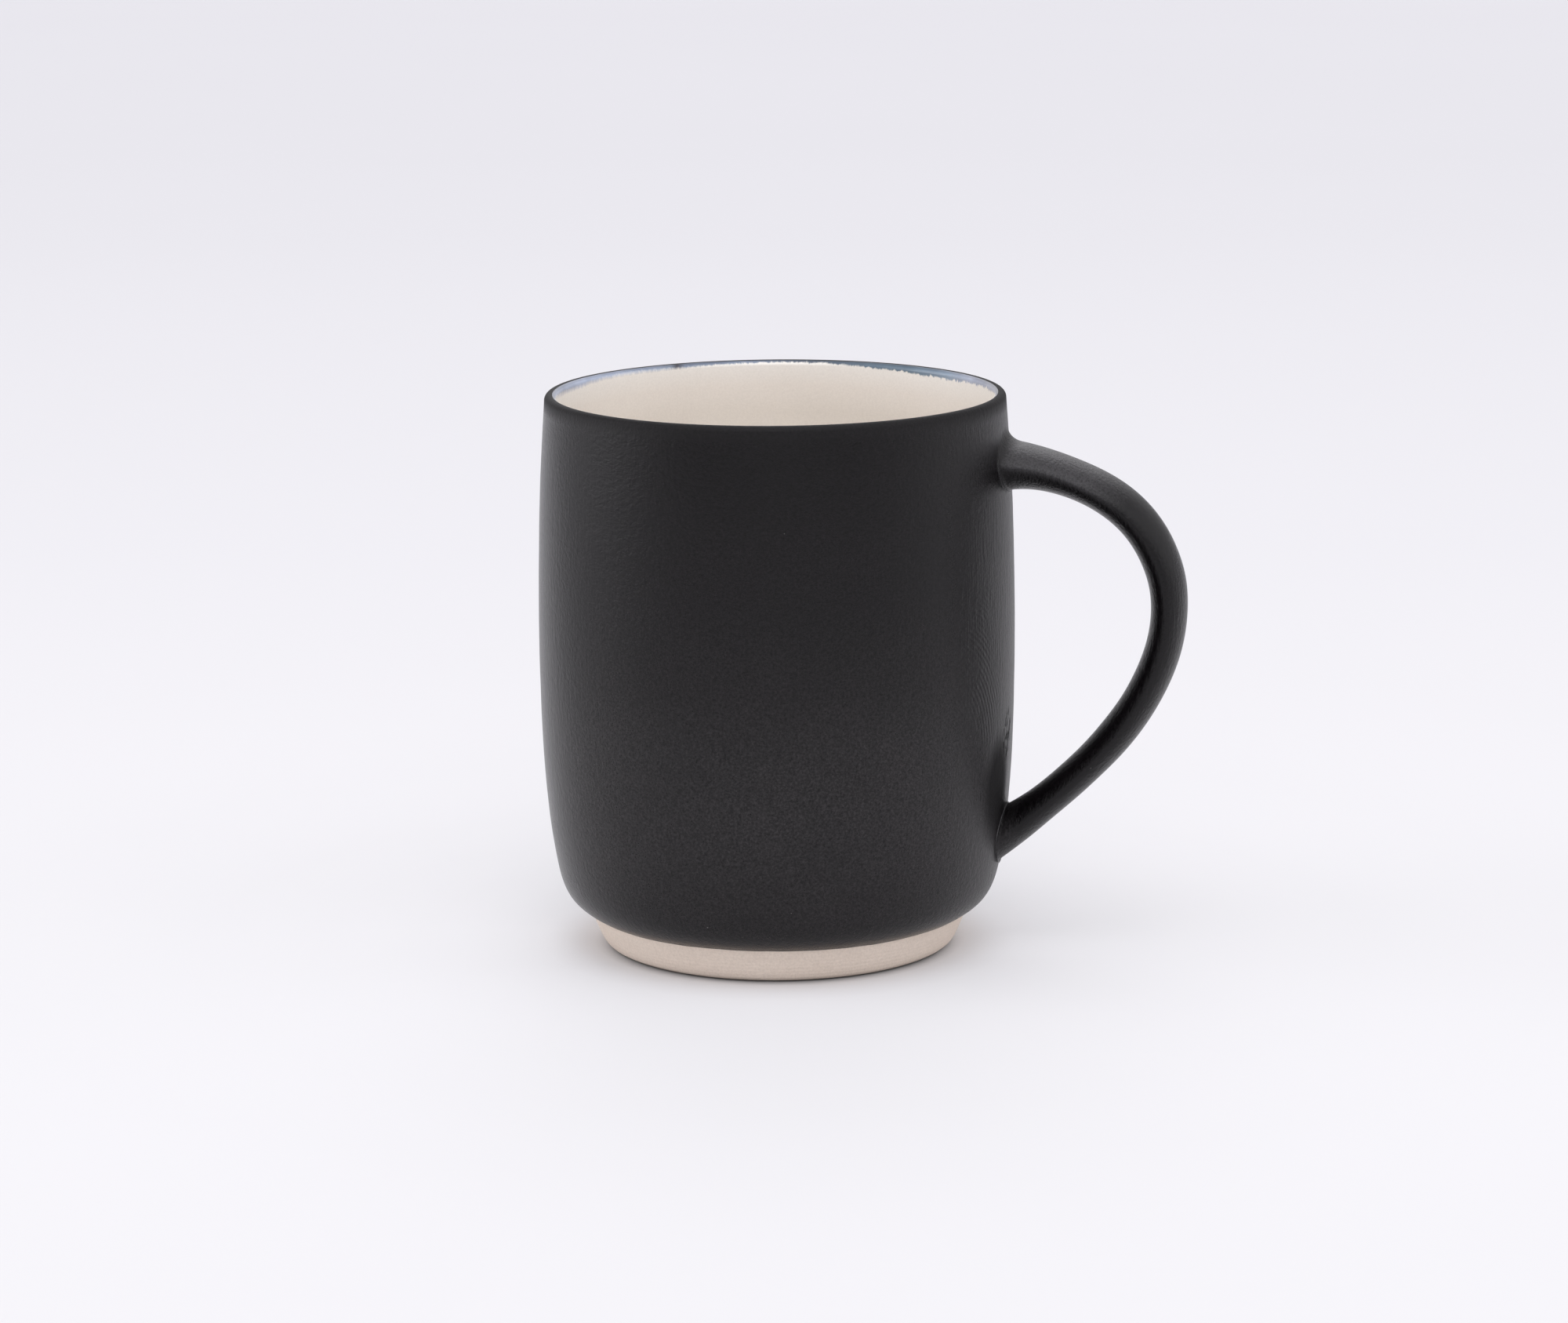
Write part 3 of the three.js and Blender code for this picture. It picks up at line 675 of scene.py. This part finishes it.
def strap_grid(inset, drop, fillet_top, fillet_low, n_len=150, n_fil=12, sink=-0.02, bead=(0.0, 0.0)):
    """Rows from the upper joint to the lower one. Fillets are (reach along the strap, reach on the wall)."""
    th = np.linspace(0, 2 * np.pi, NT, endpoint=False)
    uA = crossing(th, np.zeros(NT), np.full(NT, 14.0), inset, drop)
    uB = crossing(th, np.full(NT, HS.length), np.full(NT, HS.length - 16.0), inset, drop)
    rows = []
    ends = []
    for u0, sgn, fil, bd in ((uA, 1.0, fillet_top, bead[0]), (uB, -1.0, fillet_low, bead[1])):
        h, w = fil(th)
        P0 = to_wall(strap_point(u0 + sgn * h, th, inset), drop)
        Q = to_wall(strap_point(u0, th, inset), drop)
        C = Q.mean(0)
        D = Q - C
        D[:, 2] = 0
        # outward on the wall, square to the joint's outline
        T = np.roll(Q, -1, 0) - np.roll(Q, 1, 0)
        Nrm = np.stack([T[:, 1], -T[:, 0], 0 * T[:, 0]], -1)
        Nrm *= np.sign((Nrm * D).sum(1))[:, None]
        Nrm /= np.linalg.norm(Nrm, axis=1)[:, None]
        P2 = Q + Nrm * w[:, None]
        P2[:, 2] = sink
        Q[:, 2] = 0
        tau = np.linspace(1, 0, n_fil)[:, None, None]
        F = (1 - tau) ** 2 * P0 + 2 * tau * (1 - tau) * Q + tau**2 * P2
        # a fine ridge of coat along the crease
        off = tau[..., 0] ** 2 * w - (1 - tau[..., 0]) ** 2 * h
        keen = 1 - 0.95 * np.clip(1.4 * np.cos(th), 0, 1) if sgn > 0 else 1.0  # smoothed away on top
        ridge = (bd * keen * np.exp(-(((off - 0.08) / 0.12) ** 2)))[..., None]
        F += ridge * (Nrm * 0.6 + np.array([0.0, 0.0, 0.8]))
        ends.append(F)
    hA = fillet_top(th)[0]
    hB = fillet_low(th)[0]
    top = from_wall(ends[0], drop)  # from the wall to the strap
    low = from_wall(ends[1][::-1], drop)  # from the strap to the wall
    f = np.linspace(0, 1, n_len)[1:-1]
    mid = np.stack([strap_point((uA + hA) * (1 - k) + (uB - hB) * k, th, inset) for k in f])
    return np.concatenate([top, mid, low], 0)


def grid_normals(G):
    du = np.gradient(G, axis=0)
    dv = (np.roll(G, -1, 1) - np.roll(G, 1, 1)) / 2
    n = np.cross(dv, du)
    n /= np.linalg.norm(n, axis=-1)[..., None] + 1e-12
    c = G.mean(1, keepdims=True)
    if ((n * (G - c)).sum() < 0):
        n = -n
    return n


def shell(name, G, thick, mat, sharp_rows=()):
    """A sleeve from a grid of rows: an outer face, an inner face thick mm inside, and two end rims."""
    n = grid_normals(G)
    I = G - n * thick
    R, S = G.shape[:2]
    verts = np.vstack([G.reshape(-1, 3), I.reshape(-1, 3)])
    faces = []
    off = R * S
    for i in range(R - 1):
        for j in range(S):
            k = (j + 1) % S
            a, b, c, d = i * S + j, i * S + k, (i + 1) * S + k, (i + 1) * S + j
            faces.append((a, b, c, d))
            faces.append((off + a, off + d, off + c, off + b))
    for j in range(S):
        k = (j + 1) % S
        faces.append((j, off + j, off + k, k))
        a, b = (R - 1) * S + j, (R - 1) * S + k
        faces.append((a, b, off + b, off + a))
    sharp = []
    for r in (0, R - 1):
        sharp += [(r * S + j, r * S + (j + 1) % S) for j in range(S)]
        sharp += [(off + r * S + j, off + r * S + (j + 1) % S) for j in range(S)]
    # faces point outward
    p = [verts[v] for v in faces[(R // 2) * 2 * S]]
    fn = np.cross(p[1] - p[0], p[2] - p[0])
    if fn @ n[R // 2, 0] < 0:
        faces = [tuple(reversed(f)) for f in faces]
    return make_mesh(name, verts, faces, sharp, mat)


def core(name, G, mat):
    """A solid strap from a grid of rows, closed by a fan at each end."""
    R, S = G.shape[:2]
    verts = np.vstack([G.reshape(-1, 3), G[0].mean(0)[None], G[-1].mean(0)[None]])
    faces = []
    for i in range(R - 1):
        for j in range(S):
            k = (j + 1) % S
            faces.append((i * S + j, i * S + k, (i + 1) * S + k, (i + 1) * S + j))
    a, b = R * S, R * S + 1
    for j in range(S):
        k = (j + 1) % S
        faces.append((a, k, j))
        faces.append((b, (R - 1) * S + j, (R - 1) * S + k))
    sharp = [(j, (j + 1) % S) for j in range(S)]
    sharp += [((R - 1) * S + j, (R - 1) * S + (j + 1) % S) for j in range(S)]
    n = grid_normals(G)
    p = [verts[v] for v in faces[(R // 2) * S]]
    if np.cross(p[1] - p[0], p[2] - p[0]) @ n[R // 2, 0] < 0:
        faces = [tuple(reversed(f)) for f in faces]
    return make_mesh(name, verts, faces, sharp, mat)


def fillet_top(th):
    """Soft and wide on top, tight at the sides and below."""
    c = np.cos(th)
    up = np.clip(c, 0, 1) ** 1.3
    dn = np.clip(-c, 0, 1)
    return 0.65 + 2.15 * up + 0.6 * dn, 0.5 + 2.2 * up + 0.6 * dn


def fillet_low(th):
    c = np.cos(th)
    flank = np.abs(np.sin(th)) ** 1.5 * np.clip(0.9 - 1.2 * c, 0, 1)  # wiped wide at the sides, towards the finger gap
    return 0.6 + 0.5 * np.clip(c, 0, 1) + 0.4 * flank, 0.5 + 0.4 * np.clip(c, 0, 1) + 1.0 * flank


def tiny(v):
    return lambda th: (np.full_like(th, v), np.full_like(th, v))


G = strap_grid(0.0, 0.0, fillet_top, fillet_low, n_fil=48, bead=(0.13, 0.30))
# slow hand-made unevenness of the pulled strap, away from its joints
Rn = G.shape[0]
nrm = grid_normals(G)
for i in range(Rn):
    k = min(1.0, max(0.0, min(i, Rn - 1 - i) - 44) / 20.0)
    for j in range(NT):
        p = G[i, j]
        G[i, j] = p + nrm[i, j] * k * wobble(p[0], p[1] * 0.6, p[2], 0.10, 11.0, 4.4)
coat_handle = shell("coat_handle", G, COAT - 0.05, BLACK)

GC = strap_grid(COAT + 0.02, COAT + 1.2, tiny(0.5), tiny(0.5), n_len=110, n_fil=5, sink=0.0)
clay_handle = core("handle_strap", GC, CLAY)


# ---------------------------------------------------------------- the luting slip
def slip_pad(name, upper):
    """A thin pad of slip between the strap's end and the cup's clay, squeezed out a little."""
    th = np.linspace(0, 2 * np.pi, NT, endpoint=False)
    drop = COAT + 0.05
    lo, hi = (np.zeros(NT), np.full(NT, 14.0)) if upper else (np.full(NT, HS.length), np.full(NT, HS.length - 16.0))
    u = crossing(th, lo, hi, COAT + 0.02, drop)
    Q = to_wall(strap_point(u, th, COAT + 0.02), drop)
    C = Q.mean(0)
    rows = []
    for k, h in ((0.0, 0.0), (0.5, 0.0), (0.96, 0.0), (1.05, 0.12), (1.06, 0.28), (1.02, 0.42), (0.97, 0.48), (0.5, 0.5), (0.0, 0.5)):
        W = C + (Q - C) * k
        W[:, 2] = h - 0.02
        if 0.9 < k:
            W[:, :2] += (Q - C)[:, :2] * 0.012 * np.sin(th * 7 + 1.3)[:, None]
        rows.append(from_wall(W, drop))
    G = np.stack(rows)
    return core(name, G[1:-1], SLIP)


slip_up = slip_pad("slip_upper", True)
slip_low = slip_pad("slip_lower", False)

# ---------------------------------------------------------------- who stands for what
for ob, node, slot in (
    (clay, "clay_cup", "bare_stoneware"),
    (clay_handle, "clay_handle", "bare_stoneware"),
    (slip_up, "upper_slip_joint", "slip"),
    (slip_low, "lower_slip_joint", "slip"),
    (coat_cup, "black_coat_cup", "matt_black_coat"),
    (coat_handle, "black_coat_handle", "matt_black_coat"),
    (liner, "liner_glaze", "pale_liner"),
    (band, "lip_glaze_overlap", "lip_overlap"),
):
    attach(ob, "root")
    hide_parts(node)

# ---------------------------------------------------------------- camera
PHI = math.radians(11.0)
F_PX, DIST, CAM_Z = 5889.5, 800.0, 217.4
PITCH, YAW, ROLL = math.radians(11.808), math.radians(0.085), math.radians(-0.442)
fw = Vector((math.sin(YAW) * math.cos(PITCH), math.cos(YAW) * math.cos(PITCH), -math.sin(PITCH)))
rt = Vector((math.cos(YAW), -math.sin(YAW), 0))
up = rt.cross(fw)
r2 = rt * math.cos(ROLL) + up * math.sin(ROLL)
u2 = -rt * math.sin(ROLL) + up * math.cos(ROLL)
spin = Matrix.Rotation(PHI, 3, "Z")
X, Y, Z = spin @ r2, spin @ u2, spin @ (-fw)
pos = spin @ Vector((0, -DIST * MM, CAM_Z * MM))
cam_data = bpy.data.cameras.new("camera")
cam_data.sensor_fit = "HORIZONTAL"
cam_data.sensor_width = 36.0
cam_data.lens = F_PX / 2000.0 * 36.0
cam_data.clip_start, cam_data.clip_end = 0.01, 50
cam = bpy.data.objects.new("camera", cam_data)
cam.matrix_world = Matrix((
    (X[0], Y[0], Z[0], pos[0]),
    (X[1], Y[1], Z[1], pos[1]),
    (X[2], Y[2], Z[2], pos[2]),
    (0, 0, 0, 1),
))
bpy.context.scene.collection.objects.link(cam)
bpy.context.scene.camera = cam

# ---------------------------------------------------------------- stage
floor_mat, nt, b = new_material("floor")
obj = mapped(nt, (1, 1, 1))
sep = nt.nodes.new("ShaderNodeSeparateXYZ")
L(nt, obj, sep.inputs[0])
# painted shade: the sweep is a touch greyer far behind the mug, where less light reaches it
depth = math_node(nt, "MULTIPLY", sep.outputs["Y"], math.cos(PHI) / 2.4)
depth = math_node(nt, "MULTIPLY_ADD", sep.outputs["X"], -math.sin(PHI) / 2.4, depth, clamp=True)
tone = ramp(nt, depth, [
    (0.0, (0.743, 0.738, 0.750)), (0.08, (0.722, 0.716, 0.730)), (0.16, (0.695, 0.690, 0.709)),
    (0.275, (0.676, 0.671, 0.691)), (0.355, (0.662, 0.657, 0.678)), (0.46, (0.644, 0.639, 0.661)),
    (0.60, (0.634, 0.629, 0.652)), (1.0, (0.629, 0.624, 0.649)),
])
fn = noise_tex(nt, obj, 3, 2, 0.5)
tone = mix_color(nt, 1.0, tone, ramp(nt, fn, [(0.3, (0.997, 0.997, 0.997)), (0.7, (1.003, 1.003, 1.003))]), "MULTIPLY")
ln = nt.nodes.new("ShaderNodeVectorMath")
ln.operation = "LENGTH"
L(nt, obj, ln.inputs[0])
ring = math_node(nt, "MULTIPLY", ln.outputs["Value"], 4.0)
# painted light and shade round the foot: the floor is painted dark right under the foot as a contact shadow, lighter
# just beyond it to lift the mug's shade, and a little greyer further out
near = ramp(nt, ring, [
    (0.120, (0.45,) * 3), (0.131, (0.99,) * 3), (0.150, (1.035,) * 3), (0.168, (1.055,) * 3), (0.185, (1.052,) * 3), (0.215, (1.03,) * 3),
    (0.26, (1.005,) * 3), (0.33, (0.975,) * 3), (0.42, (0.950,) * 3), (0.55, (0.930,) * 3), (0.80, (0.914,) * 3),
    (1.0, (0.911,) * 3),
])
# painted light: the floor beside and behind the foot is painted lighter, so the shade there is softer than in front of
# it, with a painted contact shadow under the foot
painted_light_beside = ramp(nt, ring, [
    (0.118, (0.60,) * 3), (0.125, (1.18,) * 3), (0.140, (1.18,) * 3), (0.160, (1.16,) * 3), (0.180, (1.115,) * 3),
    (0.205, (1.085,) * 3), (0.26, (1.03,) * 3), (0.33, (0.985,) * 3), (0.42, (0.950,) * 3), (0.60, (0.925,) * 3),
    (1.0, (0.911,) * 3),
])
back = math_node(nt, "MULTIPLY", sep.outputs["Y"], math.cos(PHI) * 40.0)
back = math_node(nt, "ADD", math_node(nt, "MULTIPLY_ADD", sep.outputs["X"], -math.sin(PHI) * 40.0, back), 0.75, clamp=True)
# multiply the floor's colour by the painted light and shade round the foot
tone = mix_color(nt, 1.0, tone, mix_color(nt, back, near, painted_light_beside), "MULTIPLY")
L(nt, tone, b.inputs["Base Color"])
b.inputs["Roughness"].default_value = 0.85
b.inputs["Specular IOR Level"].default_value = 0.1
# painted light: the floor glows faintly to lighten the shade round the mug, with no glow under the foot
ring = math_node(nt, "MULTIPLY", ln.outputs["Value"], 10.0)
L(nt, ramp(nt, ring, [(0.32, (0, 0, 0)), (0.42, (0.047, 0.047, 0.048))]), b.inputs["Emission Color"])
b.inputs["Emission Strength"].default_value = 1.0
fv = [(-8, -8, 0), (8, -8, 0), (8, 8, 0), (-8, 8, 0)]
fme = bpy.data.meshes.new("floor")
fme.from_pydata(fv, [], [(0, 1, 2, 3)])
fme.materials.append(floor_mat)
floor = bpy.data.objects.new("floor", fme)
bpy.context.scene.collection.objects.link(floor)

# Light: a soft white tent. Lobes are (azimuth from the camera side towards the right, elevation, narrowness, strength).
TENT = 0.52
LOBES = [
    (270, 12, 14, 2.50), (90, 12, 14, 0.75), (0, 40, 14, 1.72), (60, 40, 14, 1.23), (300, 40, 14, 0.32),
    (120, 40, 14, 0.41), (180, 40, 14, 1.74), (0, 65, 20, 2.0), (270, 65, 20, 0.25), (0, 90, 20, 0.95),
]
w = bpy.data.worlds.new("studio")
bpy.context.scene.world = w
w.use_nodes = True
nt = w.node_tree
nt.nodes.clear()
wo = nt.nodes.new("ShaderNodeOutputWorld")
bg = nt.nodes.new("ShaderNodeBackground")
tc = nt.nodes.new("ShaderNodeTexCoord")
total = TENT
for az, el, narrow, power in LOBES:
    az, el = math.radians(az), math.radians(el)
    toward = spin @ Vector((math.sin(az) * math.cos(el), -math.cos(az) * math.cos(el), math.sin(el)))
    dot = nt.nodes.new("ShaderNodeVectorMath")
    dot.operation = "DOT_PRODUCT"
    L(nt, tc.outputs["Generated"], dot.inputs[0])
    dot.inputs[1].default_value = toward
    lobe = math_node(nt, "POWER", math_node(nt, "MAXIMUM", dot.outputs["Value"], 0.0), float(narrow))
    total = math_node(nt, "MULTIPLY_ADD", lobe, power, total)
bg.inputs["Color"].default_value = (0.998, 0.99, 1.02, 1)
L(nt, total, bg.inputs["Strength"])
L(nt, bg.outputs[0], wo.inputs[0])

bpy.context.scene.view_settings.view_transform = "Standard"
bpy.context.scene.view_settings.look = "None"
